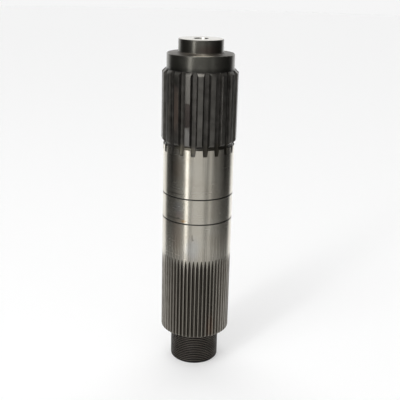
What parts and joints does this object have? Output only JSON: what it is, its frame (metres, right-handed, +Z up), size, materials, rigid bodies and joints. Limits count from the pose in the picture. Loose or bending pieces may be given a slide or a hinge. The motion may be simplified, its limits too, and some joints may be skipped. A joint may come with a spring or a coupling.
{
  "type": "auxiliary mainshaft",
  "caption": "Stepped steel gearbox shaft with a coarse spline, a ground journal with ring grooves, a fine spline with hobbed run-outs and a threaded end.",
  "frame": {"origin": "centre of the lower face, at the threaded end", "axes": "+Z up along the shaft's axis, from the threaded end to the stub; -Y is the side that faces the viewer"},
  "size_m": [0.0762, 0.0761, 0.3441],
  "materials": {
    "shaft_steel": "ground on the journal, dark and machined on the splines, nose, stub and thread"
  },
  "bodies": {
    "root": {"mainshaft": "shaft_steel"}
  },
  "joints": []
}
